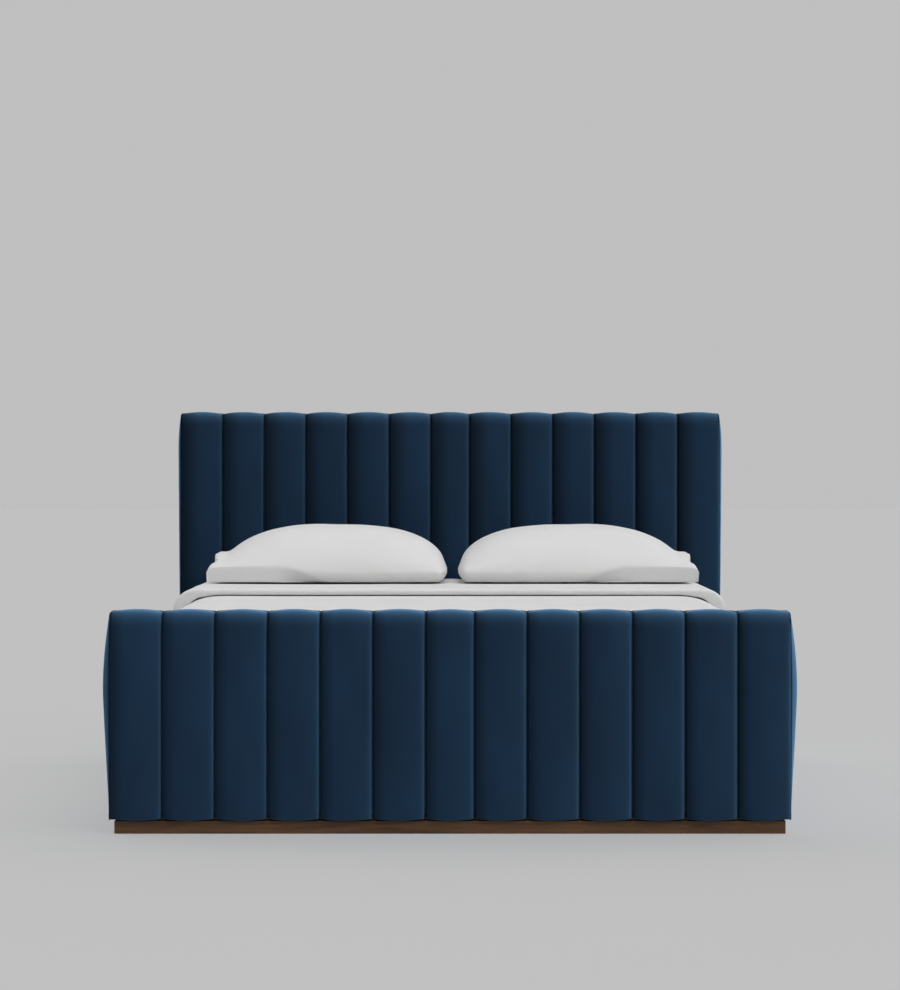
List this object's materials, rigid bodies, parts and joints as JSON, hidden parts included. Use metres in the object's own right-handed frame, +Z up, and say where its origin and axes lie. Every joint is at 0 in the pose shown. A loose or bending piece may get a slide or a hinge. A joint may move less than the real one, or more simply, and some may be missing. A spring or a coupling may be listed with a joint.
{
  "type": "upholstered headboard bed",
  "caption": "Upholstered bed with vertical channels on the headboard and footboard, a low wooden plinth, and a mattress dressed with a turned-back duvet and pillows.",
  "frame": {"origin": "on the floor under the middle of the bed", "axes": "+X to the right as seen from the foot end, +Y towards the headboard, +Z up"},
  "size_m": [1.7412, 2.295, 1.09],
  "materials": {
    "velvet": "dark navy blue velvet, short pile with a soft bright sheen at grazing angles",
    "walnut": "dark walnut with straight horizontal grain, satin lacquer",
    "pine": "planed pine, unfinished",
    "plywood": "birch plywood, unfinished",
    "zinc": "zinc-plated steel",
    "ticking": "quilted off-white mattress ticking",
    "bedding": "white cotton percale, matt"
  },
  "bodies": {
    "frame": {"centre_beam": "pine", "centre_legs": "pine", "footboard_channel_01": "velvet", "footboard_channel_02": "velvet", "footboard_channel_03": "velvet", "footboard_channel_04": "velvet", "footboard_channel_05": "velvet", "footboard_channel_06": "velvet", "footboard_channel_07": "velvet", "footboard_channel_08": "velvet", "footboard_channel_09": "velvet", "footboard_channel_10": "velvet", "footboard_channel_11": "velvet", "footboard_channel_12": "velvet", "footboard_channel_13": "velvet", "footboard_end_pad_left": "velvet", "footboard_end_pad_right": "velvet", "footboard_inner_board": "velvet", "footboard_panel": "plywood", "footboard_stile_left": "pine", "footboard_stile_right": "pine", "headboard_back_board": "velvet", "headboard_bottom_rail": "pine", "headboard_channel_01": "velvet", "headboard_channel_02": "velvet", "headboard_channel_03": "velvet", "headboard_channel_04": "velvet", "headboard_channel_05": "velvet", "headboard_channel_06": "velvet", "headboard_channel_07": "velvet", "headboard_channel_08": "velvet", "headboard_channel_09": "velvet", "headboard_channel_10": "velvet", "headboard_channel_11": "velvet", "headboard_channel_12": "velvet", "headboard_channel_13": "velvet", "headboard_end_pad_left": "velvet", "headboard_end_pad_right": "velvet", "headboard_panel": "plywood", "headboard_stile_left": "pine", "headboard_stile_right": "pine", "headboard_top_rail": "pine", "plinth_back": "walnut", "plinth_front": "walnut", "plinth_left": "walnut", "plinth_right": "walnut", "rail_bolts": "zinc", "rail_brackets": "zinc", "side_rail_left": "pine", "side_rail_pad_left": "velvet", "side_rail_pad_right": "velvet", "side_rail_right": "pine", "slat_ledge_left": "pine", "slat_ledge_right": "pine", "slats": "pine"},
    "mattress": {"mattress": "ticking", "duvet": "bedding", "duvet_fold": "bedding"},
    "pillow_left": {"pillow_left": "bedding"},
    "pillow_right": {"pillow_right": "bedding"}
  },
  "joints": [
    {"name": "mattress_lift", "type": "slide", "parent": "frame", "child": "mattress", "axis": [0, 0, 1], "range_m": [0, 0.4]},
    {"name": "pillow_left_lift", "type": "slide", "parent": "mattress", "child": "pillow_left", "axis": [0, 0, 1], "range_m": [0, 0.3]},
    {"name": "pillow_right_lift", "type": "slide", "parent": "mattress", "child": "pillow_right", "axis": [0, 0, 1], "range_m": [0, 0.3]}
  ]
}
